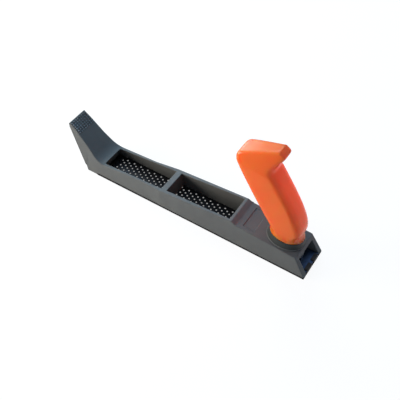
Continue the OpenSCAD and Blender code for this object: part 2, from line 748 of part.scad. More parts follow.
module tension_slide()
    color([0.3, 0.42, 0.62])
        difference() {
            union() {
                translate([lug_x, -slide_half, slide_z])
                    cube([heel_x - blade_t - push_gap - lug_x, slide_half * 2, slide_t]);
                translate([lug_x, -lug_w / 2, slide_z])
                    cube([slide_t, lug_w, screw_z + nut_af / 2 + slide_gap - slide_z]);
            }
            on_screw(lug_x - 1)
                cylinder(h = slide_t + 2, d = lug_hole_d);
        }

module tension_nut()
    color(STEEL)
        translate([lug_x - nut_t, 0, screw_z])
            difference() {
                translate([0, -nut_af / 2, -nut_af / 2])
                    cube([nut_t, nut_af, nut_af]);
                rotate([0, 90, 0])
                    translate([0, 0, -1])
                        cylinder(h = nut_t + 2, d = screw_d + run_gap * 2);
            }

// The head bears on the washer, and the shank runs forward through web, slide and nut
module tension_screw()
    color(STEEL) {
        head_x = web_rear + screw_washer_t + push_gap;
        difference() {
            union() {
                on_screw(head_x)
                    cylinder(h = screw_head_h, d = screw_head_d);
                on_screw(head_x - screw_len)
                    cylinder(h = screw_len, d = screw_d);
            }
            translate([head_x + screw_head_h - slot_depth, -screw_head_d, screw_z - slot_w / 2])
                cube([slot_depth + 1, screw_head_d * 2, slot_w]);
        }
    }

module tension_washer()
    color(STEEL)
        on_screw(web_rear)
            ring(screw_washer_t, screw_washer_d, screw_d + run_gap * 4);

body();
rasp_blade();
handle();
handle_collar();
handle_insert();
handle_bolt();
bolt_spring_washer();
bolt_washer();
tension_slide();
tension_nut();
tension_screw();
tension_washer();
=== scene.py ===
"""Rasp plane: finished meshes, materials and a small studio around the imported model."""
import json
import math

import bmesh
import bpy
from mathutils import Matrix, Vector
from mathutils.bvhtree import BVHTree


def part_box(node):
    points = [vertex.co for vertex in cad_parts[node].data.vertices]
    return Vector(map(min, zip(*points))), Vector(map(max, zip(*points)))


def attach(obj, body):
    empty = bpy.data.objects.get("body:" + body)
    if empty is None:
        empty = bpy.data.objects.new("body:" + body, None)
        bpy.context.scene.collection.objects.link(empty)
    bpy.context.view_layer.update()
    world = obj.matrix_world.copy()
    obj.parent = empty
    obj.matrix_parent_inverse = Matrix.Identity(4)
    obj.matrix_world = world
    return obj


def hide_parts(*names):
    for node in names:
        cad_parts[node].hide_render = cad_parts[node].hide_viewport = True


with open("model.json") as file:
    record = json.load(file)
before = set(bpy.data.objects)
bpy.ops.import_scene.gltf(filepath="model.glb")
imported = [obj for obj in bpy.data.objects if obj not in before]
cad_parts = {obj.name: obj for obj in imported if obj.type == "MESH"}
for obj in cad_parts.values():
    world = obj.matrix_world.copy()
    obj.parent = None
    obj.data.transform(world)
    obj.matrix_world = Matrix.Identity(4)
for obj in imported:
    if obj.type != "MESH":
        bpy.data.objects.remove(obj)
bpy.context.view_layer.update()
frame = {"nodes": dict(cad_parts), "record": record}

bl_info = {
    "name": "Rasp plane",
    "version": (1, 0, 0),
    "blender": (4, 5, 0),
    "location": "View3D > Sidebar > Rasp plane",
    "description": "Dresses a rasp plane: moulded body, punched blade, handle and tensioner",
    "category": "Add Mesh",
}

MM = 0.001
# Points that lie closer than this are one point
WELD = 1e-6
# Shares of white that the camera sees in the floor beside the tool, and through its wells, where
# the share is painted light falling through them onto the shaded floor
FLOOR_GLOW = 0.85
WELL_PAINTED_LIGHT = 0.32
# Strength at which the floor's share of white comes out white in the picture
PAPER_WHITE = 1.08
# The stretch of floor that shows through the wells and gets painted light: its middle behind the
# tip, half its length, and the blade's margin beside it
WELLS_MIDDLE = 135 * MM
WELLS_HALF = 85 * MM
WELLS_MARGIN = 3.5 * MM
# Width of a full-frame sensor, to which the lens is given
SENSOR_MM = 36
# How far the camera sees, in metres, so that the far floor stays in sight
CLIP_END = 10
# Cool light from all round, at a low level
AIR_COLOUR = (0.72, 0.82, 1.0, 1.0)
AIR_STRENGTH = 0.2
# Square lamps with soft edges: places and widths in metres, power in watts, beam in degrees
LAMPS = {
    "key": {"place": (-0.7, -0.45, 0.23), "target": (0, 0, 0.03), "width": 0.5,
            "watts": 9.2, "colour": (1.0, 0.93, 0.83)},
    "top": {"place": (-0.1, 0.1, 1.2), "target": (0, 0, 0.03), "width": 0.8,
            "watts": 4.0, "colour": (0.2, 0.58, 1.0)},
    "rear": {"place": (-0.62, 0.66, 0.86), "target": (0, 0, 0.03), "width": 0.5,
             "watts": 6.0, "colour": (0.54, 0.8, 1.0)},
    "sheen": {"place": (-1.0, 0.66, 0.25), "target": (0.09, 0, 0.1), "width": 0.5,
              "watts": 4.0, "colour": (1.0, 0.96, 0.92)},
    "glow": {"place": (0.6, 0.42, 0.13), "target": (0.1, 0, 0.09), "width": 0.06,
             "watts": 0.02, "colour": (1.0, 0.12, 0.05), "spread": 14},
}
BODY_LOW, BODY_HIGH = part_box("body")
BLADE_LOW, BLADE_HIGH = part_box("rasp_blade")


def linear(code):
    """The linear colour of an sRGB hex value such as "#E8602F"."""
    parts = [int(code[i:i + 2], 16) / 255 for i in (1, 3, 5)]
    return tuple(c / 12.92 if c <= 0.04045 else ((c + 0.055) / 1.055) ** 2.4 for c in parts)


def mix(a, b, t):
    """The value that lies between a and b at a share t of the way."""
    return a + (b - a) * t


def size(name, description, default_mm):
    """A length property, given in millimetres and kept in metres."""
    return bpy.props.FloatProperty(name=name, description=description, default=default_mm * MM,
                                   subtype="DISTANCE", unit="LENGTH", precision=5)


def angle(name, description, degrees):
    return bpy.props.FloatProperty(name=name, description=description,
                                   default=math.radians(degrees), subtype="ANGLE", unit="ROTATION")


def number(name, description, default):
    """A plain number, such as a share or a fullness."""
    return bpy.props.FloatProperty(name=name, description=description, default=default)


def count(name, description, default):
    return bpy.props.IntProperty(name=name, description=description, default=default)


def group(kind, name, description):
    return bpy.props.PointerProperty(type=kind, name=name, description=description)


def tint(name, description, code):
    return bpy.props.FloatVectorProperty(name=name, description=description, size=3,
                                         default=linear(code), subtype="COLOR", min=0.0, max=1.0)


class RaspPlaneColours(bpy.types.PropertyGroup):
    body: tint("Body", "Grey moulded plastic of the body", "#656664")
    body_speck: tint("Body speck", "Darker cloud in the grey plastic", "#5F605F")
    # Painted highlight: the studs are drawn lighter than the body where light catches their domes
    stud_highlight: tint("Stud", "Grey plastic of the studs, painted lighter as a highlight", "#868C92")
    # Painted shade: the collar's wall is drawn darker than the body for the handle's shade on it
    collar: tint("Collar", "Grey moulded plastic of the collar, darkened as painted shade", "#383B39")
    handle: tint("Handle", "Orange moulded plastic of the handle", "#FF701E")
    handle_flow: tint("Handle flow", "Slightly redder flow marks in the orange plastic", "#FB661A")
    blade: tint("Blade", "Blackened spring steel", "#15161A")
    blade_oxide: tint("Blade oxide", "Browner patches in the black oxide", "#1F1C1A")
    zinc: tint("Zinc", "Bright zinc plating", "#B4B8BA")
    blue_zinc: tint("Blue zinc", "Blue passivated zinc plating", "#2A3850")
    brass: tint("Brass", "Turned brass", "#C49A4A")
    floor: tint("Floor", "Pale studio floor", "#F4F4F4")
    # Painted shadow: the floor under the tool takes this dark colour
    floor_painted_shadow: tint("Dark floor", "Painted shadow on the floor under the tool", "#272727")


class RaspPlaneBody(bpy.types.PropertyGroup):
    outer_round: size("Outer rounding", "Rounding of the long outer edges", 0.9)
    rim_round: size("Rim rounding", "Rounding of the edges around the wells", 0.5)
    stud_d: size("Stud diameter", "Diameter of the grip studs on the toe", 2.0)
    stud_h: size("Stud height", "Height of the grip studs on the toe", 1.1)
    stud_inset: size("Stud inset", "Distance from the tip to the first row of studs", 2.6)
    stud_pitch_x: size("Stud row pitch", "Distance between the rows of studs", 2.7)
    stud_pitch_y: size("Stud column pitch", "Distance between the columns of studs", 3.2)
    stud_rows: count("Stud rows", "Rows of grip studs", 6)
    stud_columns: count("Stud columns", "Studs in one row", 8)
    tip_edge: size("Tip edge", "Width of the blunt edge at the tip", 2.8)
    crest_run: size("Crest run", "Length of the flatter crest behind the tip", 8.3)
    crest_slope: angle("Crest slope", "Slope of the crest", 39.7)
    toe_slope: angle("Toe slope", "Slope of the toe's long top face", 46.4)


class RaspPlaneBlade(bpy.types.PropertyGroup):
    thick: size("Steel thickness", "Thickness of the blade's steel", 0.8)
    tooth_h: size("Tooth height", "Height of the teeth below the blade", 1.4)
    tooth_wall: size("Tooth wall", "Wall of a tooth at its root", 0.8)
    tooth_edge: size("Tooth edge", "Wall of a tooth at its cutting edge", 0.2)
    hole_d: size("Hole diameter", "Diameter of the punched holes", 2.3)
    hole_pitch: size("Hole pitch", "Distance between the holes of one row", 9.57)
    row_pitch: size("Row pitch", "Distance between neighbouring rows", 2.45)
    row_shift: size("Row shift", "Shift of each row from the row beside it", 4.02)
    front_margin: size("Front margin", "Bare steel in front of the first hole", 3.4)
    rear_margin: size("Rear margin", "Bare steel behind the last hole", 12.0)
    side_margin: size("Side margin", "Bare steel beside the outer rows", 3.0)
    hook_len: size("Hook length", "Length of the rear hooks' flaps", 4.2)
    hook_gap: size("Hook gap", "Clear height inside the rear hooks", 2.0)
    hook_notch: size("Hook notch", "Width of the notch between the hooks", 4.2)
    hook_half: size("Hook half width", "Half width over the two hooks", 12.3)
    lip_h: size("Lip height", "Height of the front lip above the blade", 4.2)
    lip_w: size("Lip width", "Width of the front lip", 34.0)


class RaspPlaneHandle(bpy.types.PropertyGroup):
    foot_len: size("Foot length", "Length of the handle's foot", 38.1)
    foot_w: size("Foot width", "Width of the handle's foot", 29.5)
    foot_h: size("Foot height", "Height of the flared foot", 8.8)
    foot_inset: size("Foot inset", "Setback of the grip's front from the foot's edge", 3.4)
    grip_h: size("Grip height", "Height of the grip above the foot", 76.4)
    grip_lean: angle("Grip lean", "Forward lean of the grip", 35.2)
    grip_bow: size("Grip bow", "Forward bow of the grip's front", 1.3)
    grip_foot_depth: size("Grip foot depth", "Depth of the grip at its foot", 30.9)
    grip_belly: size("Grip belly", "Bulge of the grip's back", 8.0)
    belly_share: number("Belly place", "A smaller share moves the bulge down", 0.63)
    grip_foot_half: size("Grip foot half width", "Half width above the flared foot", 12.9)
    grip_top_half: size("Grip top half width", "Half width of the grip at the neck", 13.1)
    neck_depth: size("Neck depth", "Depth from the brow's corner to the neck", 44.4)
    neck_drop: size("Neck drop", "Drop of the neck below the brow's corner", 0.8)
    top_len: size("Top length", "Length of the flat top face", 50.1)
    top_slope: angle("Top slope", "Slope of the flat top face", 27.0)
    top_front_half: size("Top front half width", "Half width of the top face at the brow", 9.0)
    top_rear_half: size("Top rear half width", "Half width of the top face at the beak", 4.2)
    beak_h: size("Beak height", "Height of the beak's blunt end", 4.5)
    beak_lean: size("Beak lean", "Lean of the beak's blunt end", 6.8)
    brow_r: size("Brow radius", "Radius between the grip and the top face", 9.6)
    edge_r: size("Edge radius", "Rounding along the top face", 2.0)
    front_r: size("Front rounding", "Inward reach of the front's rounding", 5.0)
    front_len: size("Front rounding length", "Length of that rounding along the sides", 7.2)
    rear_r: size("Rear rounding", "Inward reach of the back's rounding", 12.6)
    rear_len: size("Rear rounding length", "Length of that rounding along the sides", 8.6)
    rear_full: number("Rear fullness", "Fullness of the back, where 2 is an ellipse", 2.9)
    flare: number("Side flare", "Widening of the sides below the top face", 0.18)


class RaspPlaneSeat(bpy.types.PropertyGroup):
    station: size("Station", "Distance of the handle's centre from the middle of the tool", 118.9)
    level: size("Level", "Height of the deck at the handle's centre", 25.5)
    slope: angle("Deck slope", "Slope of the deck towards the heel", 3.887)
    collar_h: size("Collar height", "Height of the collar", 7.8)
    collar_step: size("Collar step", "Step of the collar around the handle's foot", 1.6)
    bead_h: size("Bead height", "Height of the bead around the collar", 1.5)
    bead_step: size("Bead step", "Step of the bead around the collar", 0.7)
    groove: size("Groove", "Depth of the groove above the bead", 0.5)
    spigot_h: size("Spigot height", "Depth of the collar's spigot in the deck", 1.5)
    spigot_inset: size("Spigot inset", "Rim of the collar around its spigot", 4.0)
    bore_d: size("Bore", "Clearance hole for the handle's bolt", 6.6)


class RaspPlaneStage(bpy.types.PropertyGroup):
    azimuth: angle("Azimuth", "Direction that the camera looks from", 32.85)
    elevation: angle("Elevation", "Height of the camera above the horizon", 49.84)
    distance: size("Distance", "Distance from the camera to its target", 716.8)
    target_x: size("Target X", "Point that the camera looks at", 7.4)
    target_y: size("Target Y", "Point that the camera looks at", 11.0)
    lens: bpy.props.FloatProperty(name="Lens", description="Focal length on a 36 mm sensor",
                                  default=57.73, subtype="DISTANCE_CAMERA")
    floor_w: size("Floor", "Width of the studio floor", 6000)


class RaspPlaneSettings(bpy.types.PropertyGroup):
    colours: group(RaspPlaneColours, "Colours", "Colours of the finishes")
    body: group(RaspPlaneBody, "Body", "Rounding and studs of the body")
    blade: group(RaspPlaneBlade, "Blade", "Sizes of the rasp blade")
    handle: group(RaspPlaneHandle, "Handle", "Sizes of the handle")
    seat: group(RaspPlaneSeat, "Seat", "Place of the handle and its collar")
    stage: group(RaspPlaneStage, "Stage", "Camera and floor of the studio")


def add(tree, kind, inputs=None, **settings):
    """Adds a node, sets its properties, and sets or links its inputs. A list is all linked."""
    node = tree.nodes.new(kind)
    for key, value in settings.items():
        setattr(node, key, value)
    for key, value in (inputs or {}).items():
        for each in value if isinstance(value, list) else [value]:
            if isinstance(each, bpy.types.NodeSocket):
                tree.links.new(each, node.inputs[key])
            else:
                node.inputs[key].default_value = each
    return node


def empty_tree(block):
    """The cleared node tree of a material or a world."""
    block.use_nodes = True
    block.node_tree.nodes.clear()
    return block.node_tree


def new_material(name, tones, patches, gloss, relief, surface):
    """A material whose roughness and relief each follow a noise with features of a size in mm.

    With patches, a third noise mixes the two tones. An even colour is set on the shader.
    "range" is the part of a noise that becomes "to".
    """
    made = bpy.data.materials.new(name)
    tree = empty_tree(made)
    place = add(tree, "ShaderNodeTexCoord").outputs["Object"]
    patterns = [pattern for pattern in (relief, gloss, patches) if pattern]
    noises = [add(tree, "ShaderNodeTexNoise", {
        "Vector": place, "Scale": 1 / (pattern["mm"] * MM), "Detail": pattern["detail"],
    }).outputs["Fac"] for pattern in patterns]
    levels = [add(tree, "ShaderNodeMapRange", {
        "Value": noise, "From Min": pattern["range"][0], "From Max": pattern["range"][1],
        "To Min": pattern["to"][0], "To Max": pattern["to"][1],
    }).outputs["Result"] for noise, pattern in zip(noises[1:], patterns[1:])]
    colour = (*tones[0], 1.0)
    if patches:
        colour = add(tree, "ShaderNodeMix", {
            0: levels[1], 6: colour, 7: (*tones[1], 1.0)}, data_type="RGBA").outputs[2]
    bump = add(tree, "ShaderNodeBump", {
        "Height": noises[0], "Strength": relief["strength"], "Distance": relief["depth"] * MM})
    shader = add(tree, "ShaderNodeBsdfPrincipled", {
        **surface, "Base Color": colour, "Roughness": levels[0],
        "Normal": bump.outputs["Normal"]})
    add(tree, "ShaderNodeOutputMaterial", {"Surface": shader.outputs["BSDF"]})
    return made


def satin_plastic(name, *tones):
    """Satin ABS from a spark-eroded mould: a fine grain, faint scuffs and perhaps clouds."""
    clouds = {"mm": 22, "detail": 2, "range": (0.35, 0.65), "to": (0.0, 1.0)}
    # The real grain is finer than 0.1 mm, and is drawn coarser so that it shows
    return new_material(
        name, tones, patches=clouds if len(tones) > 1 else None,
        gloss={"mm": 6, "detail": 3, "range": (0.3, 0.7), "to": (0.4, 0.52)},
        relief={"mm": 0.7, "detail": 2, "strength": 0.25, "depth": 0.06},
        surface={"IOR": 1.54, "Specular IOR Level": 0.15})


def moulded_grey_plastic(colours):
    """The body's grey ABS, slightly cloudy."""
    return satin_plastic("Moulded grey ABS", colours.body, colours.body_speck)


def collar_painted_shade_plastic(colours):
    """The collar's ABS from the same kind of mould, even, and darker than the body as painted
    shade from the handle above it.
    """
    return satin_plastic("Grey ABS with painted shade", colours.collar)


def stud_highlight_plastic(colours):
    """The same ABS on the grip studs, painted lighter in clouds as a painted highlight where light
    catches the domes.
    """
    return satin_plastic("Grey ABS with painted highlight", colours.stud_highlight, colours.body)


def glossy_orange_plastic(colours):
    """Glossy polypropylene from a polished mould: soft flow marks and a slight orange peel."""
    return new_material(
        "Glossy orange polypropylene", (colours.handle, colours.handle_flow),
        patches={"mm": 45, "detail": 1, "range": (0.35, 0.7), "to": (0.0, 0.5)},
        gloss={"mm": 9, "detail": 2, "range": (0.3, 0.7), "to": (0.16, 0.24)},
        relief={"mm": 4, "detail": 1, "strength": 0.1, "depth": 0.1},
        surface={"IOR": 1.45, "Specular IOR Level": 0.3, "Subsurface Weight": 1.0,
                 "Subsurface Radius": (1.0, 0.14, 0.05), "Subsurface Scale": 12 * MM})


def blackened_steel(colours):
    """Hardened spring steel with a black oxide: dark, patchy and slightly oily."""
    # The rolled skin's grain is too fine to see, and is drawn coarser so that it shows
    return new_material(
        "Blackened spring steel", (colours.blade, colours.blade_oxide),
        patches={"mm": 8, "detail": 4, "range": (0.4, 0.65), "to": (0.0, 1.0)},
        gloss={"mm": 2.5, "detail": 3, "range": (0.3, 0.7), "to": (0.38, 0.6)},
        relief={"mm": 0.6, "detail": 2, "strength": 0.15, "depth": 0.04},
        surface={"Metallic": 0.75})


def bare_metal(name, colour, roughness):
    """A plated or turned metal face: cloudy, with fine marks of the tool or the bath."""
    # The marks are too fine to see, and are drawn coarser so that they show
    clouded = [channel * 0.78 for channel in colour]
    return new_material(
        name, (colour, clouded),
        patches={"mm": 5, "detail": 3, "range": (0.35, 0.7), "to": (0.0, 1.0)},
        gloss={"mm": 1.5, "detail": 2, "range": (0.3, 0.7), "to": roughness},
        relief={"mm": 0.4, "detail": 2, "strength": 0.12, "depth": 0.02},
        surface={"Metallic": 0.95})


def bright_zinc(colours):
    """Steel fasteners with a bright zinc plating, slightly cloudy."""
    return bare_metal("Bright zinc plated steel", colours.zinc, (0.26, 0.42))


def blue_zinc(colours):
    """Pressed steel with a blue passivated zinc plating, a little duller."""
    return bare_metal("Blue passivated zinc", colours.blue_zinc, (0.3, 0.45))


def turned_brass(colours):
    """Brass turned on a lathe and moulded in, bright and yellow."""
    return bare_metal("Turned brass", colours.brass, (0.24, 0.36))


FINISHES = {
    "body_grey": moulded_grey_plastic,
    # The collar wall's darker grey is painted shade
    "collar wall": collar_painted_shade_plastic,
    # The studs' lighter grey is a painted highlight
    "studs": stud_highlight_plastic,
    "handle_orange": glossy_orange_plastic,
    "blade_black": blackened_steel,
    "zinc_steel": bright_zinc,
    "slide_blue_zinc": blue_zinc,
    "insert_brass": turned_brass,
}
MADE = {}


def finish(slot, settings):
    """The material of a finish, made when it is first asked for."""
    if slot not in MADE:
        MADE[slot] = FINISHES[slot](settings.colours)
    return MADE[slot]


def seen_rays(tree):
    """1 for camera rays and for reflected or refracted ones, so that metal shows the white too."""
    path = add(tree, "ShaderNodeLightPath").outputs
    total = add(tree, "ShaderNodeMath", {0: path["Is Camera Ray"], 1: path["Is Glossy Ray"]},
                operation="ADD").outputs[0]
    return add(tree, "ShaderNodeMath", {0: total, 1: path["Is Transmission Ray"]},
               operation="ADD", use_clamp=True).outputs[0]


def stretch_of_floor(tree, spot, middle, half_length, half_width):
    """1 on a stretch of the floor that runs along X about Y = 0, and 0 elsewhere."""
    along = add(tree, "ShaderNodeMath", {0: spot["X"], 1: middle, 2: half_length},
                operation="COMPARE").outputs[0]
    across = add(tree, "ShaderNodeMath", {0: spot["Y"], 1: 0.0, 2: half_width},
                 operation="COMPARE").outputs[0]
    return add(tree, "ShaderNodeMath", {0: along, 1: across}, operation="MULTIPLY").outputs[0]


def studio_floor(colours):
    """Matt paper that the camera sees almost white, with a painted shadow under the tool and
    painted light through its wells.
    """
    made = bpy.data.materials.new("Matt white paper")
    tree = empty_tree(made)
    place = add(tree, "ShaderNodeTexCoord").outputs["Object"]
    spot = add(tree, "ShaderNodeSeparateXYZ", {"Vector": place}).outputs
    middle = (BLADE_LOW.x + BODY_HIGH.x) / 2
    under = stretch_of_floor(tree, spot, middle, BODY_HIGH.x - middle, BLADE_HIGH.y)
    wells = stretch_of_floor(tree, spot, BODY_LOW.x + WELLS_MIDDLE, WELLS_HALF,
                             BLADE_HIGH.y - WELLS_MARGIN)
    # Painted shadow: under the tool the paper takes the dark colour
    colour = add(tree, "ShaderNodeMix", {
        0: under, 6: (*colours.floor, 1.0), 7: (*colours.floor_painted_shadow, 1.0)},
        data_type="RGBA").outputs[2]
    paper = add(tree, "ShaderNodeBsdfDiffuse", {"Color": colour})
    white = add(tree, "ShaderNodeEmission", {
        "Color": (1.0, 1.0, 1.0, 1.0), "Strength": PAPER_WHITE})
    share = add(tree, "ShaderNodeMath", {0: under, 1: -FLOOR_GLOW, 2: FLOOR_GLOW},
                operation="MULTIPLY_ADD").outputs[0]
    # Painted light: through the wells a share of white stands for light that falls through them
    share = add(tree, "ShaderNodeMath", {0: wells, 1: WELL_PAINTED_LIGHT, 2: share},
                operation="MULTIPLY_ADD").outputs[0]
    seen = add(tree, "ShaderNodeMath", {0: seen_rays(tree), 1: share},
               operation="MULTIPLY").outputs[0]
    shown = add(tree, "ShaderNodeMixShader", {
        0: seen, 1: paper.outputs["BSDF"], 2: white.outputs["Emission"]})
    add(tree, "ShaderNodeOutputMaterial", {"Surface": shown.outputs["Shader"]})
    return made


def shade(obj, material, sharp_deg):
    """Gives a piece its material and shades it smooth between its sharp edges."""
    mesh = obj.data
    mesh.materials.clear()
    mesh.materials.append(material)
    for face in mesh.polygons:
        face.use_smooth = True
        face.material_index = 0
    mesh.set_sharp_from_angle(angle=math.radians(sharp_deg))


def new_piece(name, mesh):
    """An object at the origin that shows a mesh."""
    obj = bpy.data.objects.new(name, mesh)
    bpy.context.scene.collection.objects.link(obj)
    return obj


def to_mesh(form, name):
    """The mesh of a finished form."""
    mesh = bpy.data.meshes.new(name)
    form.to_mesh(mesh)
    form.free()
    return mesh


def plain_mesh(obj):
    """Turns a piece with live modifiers into a plain mesh."""
    graph = bpy.context.evaluated_depsgraph_get()
    graph.update()
    mesh = bpy.data.meshes.new_from_object(obj.evaluated_get(graph))
    obj.modifiers.clear()
    obj.data = mesh


def corner(a, b, c, r, steps):
    """Arc of radius r that rounds the corner b between the points a and c."""
    to_a, to_c = (a - b).normalized(), (c - b).normalized()
    half = to_a.angle(to_c) / 2
    mid = b + (to_a + to_c).normalized() * (r / math.sin(half))
    start = b + to_a * (r / math.tan(half)) - mid
    side = math.copysign(1, to_a.x * to_c.y - to_a.y * to_c.x)
    sweep = side * (2 * half - math.pi)
    return [mid + Matrix.Rotation(sweep * i / steps, 2) @ start for i in range(steps + 1)]


def smooth_curve(points):
    """A smooth curve through (place, value) points that never overshoots them."""
    places, values = zip(*points)
    slopes = [(values[i + 1] - values[i]) / (places[i + 1] - places[i])
              for i in range(len(points) - 1)]
    turns = [2 * a * b / (a + b) if a * b > 0 else 0.0 for a, b in zip(slopes, slopes[1:])]
    turns = [slopes[0]] + turns + [slopes[-1]]

    def at(place):
        place = min(max(place, places[0]), places[-1])
        i = max(k for k in range(len(places) - 1) if places[k] <= place or k == 0)
        run = places[i + 1] - places[i]
        t = (place - places[i]) / run
        return (values[i] * (1 + 2 * t) * (1 - t) ** 2 + values[i + 1] * t * t * (3 - 2 * t)
                + run * turns[i] * t * (1 - t) ** 2 - run * turns[i + 1] * t * t * (1 - t))
    return at


def ring_loft(form, rings, closed=False):
    """Skins rings of points. Closed rings join the last ring to the first; open ones get caps."""
    made = [[form.verts.new(p) for p in ring] for ring in rings]
    around = len(rings[0])
    pairs = list(zip(made, made[1:]))
    if closed:
        pairs.append((made[-1], made[0]))
    for low, high in pairs:
        for i in range(around):
            j = (i + 1) % around
            form.faces.new([low[i], low[j], high[j], high[i]])
    if not closed:
        form.faces.new(made[0])
        form.faces.new(made[-1])


def seat_matrix(seat, height=0.0):
    """The deck's place under the handle, square to the deck, at a height above it."""
    return (Matrix.Translation((seat.station, 0, seat.level))
            @ Matrix.Rotation(seat.slope, 4, "Y") @ Matrix.Translation((0, 0, height)))


def merged_copy(node):
    """A welded copy of a CAD node's mesh with its flat faces joined."""
    form = bmesh.new()
    form.from_mesh(frame["nodes"][node].data)
    bmesh.ops.remove_doubles(form, verts=form.verts, dist=WELD)
    almost_flat = math.radians(0.4)
    bmesh.ops.dissolve_limit(form, angle_limit=almost_flat, verts=form.verts, edges=form.edges)
    return form


def weigh_body_edges(form, body):
    """Marks the edges that the mould rounds, the outer ones fully and the inner ones less."""
    # Shorter edges belong to the arcs of the solid's corners, which are round already
    shortest, shortest_at_tip = 0.29 * MM, 1.6 * MM
    tip_run, blunt_run, blunt_drop = 6 * MM, 4 * MM, 5 * MM
    least_turn = math.radians(24)
    # The foot stays crisp where it meets the blade
    foot_top = 4 * MM
    sideways = 0.9
    # Outer edges lie beyond this half width in mm, which narrows along the toe
    outer, outer_at_tip = 16.5, 10
    toe_start, toe_run = 100 * MM, 50 * MM
    weights = form.edges.layers.float.new("bevel_weight_edge")
    for edge in form.edges:
        if len(edge.link_faces) != 2 or edge.calc_length() < shortest:
            continue
        if edge.verts[0].co.x < BODY_LOW.x + tip_run and edge.calc_length() < shortest_at_tip:
            continue
        a, b = (face.normal for face in edge.link_faces)
        if a.angle(b) < least_turn:
            continue
        mid = (edge.verts[0].co + edge.verts[1].co) / 2
        if mid.z < foot_top:
            continue
        side_wall = max(abs(a.y), abs(b.y)) > sideways
        at_tip = mid.x < BODY_LOW.x + blunt_run and mid.z > BODY_HIGH.z - blunt_drop
        toe = min(max((-mid.x - toe_start) / toe_run, 0), 1)
        outside = side_wall and abs(mid.y) > mix(outer, outer_at_tip, toe) * MM
        edge[weights] = 1.0 if outside or at_tip else body.rim_round / body.outer_round


def pull_in(obj, surface, reach):
    """Moves points that a rounding left far from the surface back onto it."""
    for vert in obj.data.vertices:
        nearest, _, _, away = surface.find_nearest(vert.co)
        if away > reach:
            vert.co = nearest


def stud_places(body):
    """Centres and slopes of the grip studs, from the tip back over the crest."""
    tip = Vector((BODY_LOW.x + body.tip_edge * math.sin(body.crest_slope), 0, BODY_HIGH.z))
    crest_len = body.crest_run / math.cos(body.crest_slope)
    crest_end = tip + Vector((body.crest_run, 0, -body.crest_run * math.tan(body.crest_slope)))
    for i in range(body.stud_rows):
        run = body.stud_inset + i * body.stud_pitch_x
        on_crest = run < crest_len
        slope = body.crest_slope if on_crest else body.toe_slope
        start = tip if on_crest else crest_end
        along = run if on_crest else run - crest_len
        spot = start + along * Vector((math.cos(slope), 0, -math.sin(slope)))
        for j in range(body.stud_columns):
            y = (j - (body.stud_columns - 1) / 2) * body.stud_pitch_y
            yield spot + Vector((0, y, 0)), slope


def points_mesh(name, places):
    """Loose points, each with the turn about Y that its instance takes."""
    mesh = bpy.data.meshes.new(name)
    mesh.from_pydata([p for p, _ in places], [], [])
    turn = mesh.attributes.new("turn", "FLOAT_VECTOR", "POINT")
    for item, (_, slope) in zip(turn.data, places):
        item.vector = (0, slope, 0)
    return mesh


def node_tree(name, sizes):
    """An empty Geometry Nodes tree with a geometry input, named sizes and a material input."""
    tree = bpy.data.node_groups.new(name, "GeometryNodeTree")
    tree.interface.new_socket("Geometry", in_out="INPUT", socket_type="NodeSocketGeometry")
    for label in sizes:
        tree.interface.new_socket(label, in_out="INPUT", socket_type="NodeSocketFloat")
    tree.interface.new_socket("Material", in_out="INPUT", socket_type="NodeSocketMaterial")
    tree.interface.new_socket("Geometry", in_out="OUTPUT", socket_type="NodeSocketGeometry")
    return tree, add(tree, "NodeGroupInput").outputs


def close_tree(tree, geometry, material):
    """Ends a tree in Realize Instances and Set Material."""
    real = add(tree, "GeometryNodeRealizeInstances", {"Geometry": geometry})
    done = add(tree, "GeometryNodeSetMaterial", {
        "Geometry": real.outputs["Geometry"], "Material": material})
    add(tree, "NodeGroupOutput", {0: done.outputs["Geometry"]})


def run_tree(obj, tree, values):
    """Runs a tree on a piece with values by input name, and keeps the plain mesh."""
    modifier = obj.modifiers.new(tree.name, "NODES")
    modifier.node_group = tree
    for item in tree.interface.items_tree:
        if item.in_out == "INPUT" and item.name in values:
            modifier[item.identifier] = values[item.name]
    plain_mesh(obj)


def stud_tree():
    """Low domes on the points: a sphere of which the upper part stands out of the face."""
    tree, given = node_tree("Grip studs", ["Diameter", "Height"])
    dome = add(tree, "GeometryNodeMeshUVSphere", {"Segments": 14, "Rings": 8, "Radius": 0.5})
    double = add(tree, "ShaderNodeMath", {0: given["Height"], 1: 2.0}, operation="MULTIPLY")
    scale = add(tree, "ShaderNodeCombineXYZ", {
        0: given["Diameter"], 1: given["Diameter"], 2: double.outputs[0]})
    turn = add(tree, "GeometryNodeInputNamedAttribute", {"Name": "turn"},
               data_type="FLOAT_VECTOR")
    placed = add(tree, "GeometryNodeInstanceOnPoints", {
        "Points": given["Geometry"], "Instance": dome.outputs["Mesh"],
        "Rotation": turn.outputs["Attribute"], "Scale": scale.outputs["Vector"]})
    close_tree(tree, placed.outputs["Instances"], given["Material"])
    return tree


class RASPPLANE_OT_body(bpy.types.Operator):
    """Round the moulded body's edges and give it its grey plastic and its grip studs"""
    bl_idname = "rasp_plane.body"
    bl_label = "Moulded body"

    def execute(self, context):
        settings = context.scene.rasp_plane
        form = merged_copy("body")
        weigh_body_edges(form, settings.body)
        surface = BVHTree.FromBMesh(form)
        obj = new_piece("moulded_body", to_mesh(form, "moulded_body"))
        rounding = obj.modifiers.new("Mould rounding", "BEVEL")
        rounding.limit_method = "WEIGHT"
        rounding.width = settings.body.outer_round
        rounding.segments = 3
        rounding.use_clamp_overlap = False
        plain_mesh(obj)
        pull_in(obj, surface, reach=settings.body.outer_round / 2)
        shade(obj, finish("body_grey", settings), sharp_deg=30)
        flat = obj.modifiers.new("Flat faces", "WEIGHTED_NORMAL")
        flat.keep_sharp = True
        plain_mesh(obj)
        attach(obj, "frame")
        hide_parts("body")
        places = list(stud_places(settings.body))
        studs = new_piece("grip_studs", points_mesh("grip_studs", places))
        run_tree(studs, stud_tree(), {
            "Diameter": settings.body.stud_d, "Height": settings.body.stud_h,
            "Material": finish("studs", settings)})
        shade(studs, finish("studs", settings), sharp_deg=60)
        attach(studs, "frame")
        return {"FINISHED"}


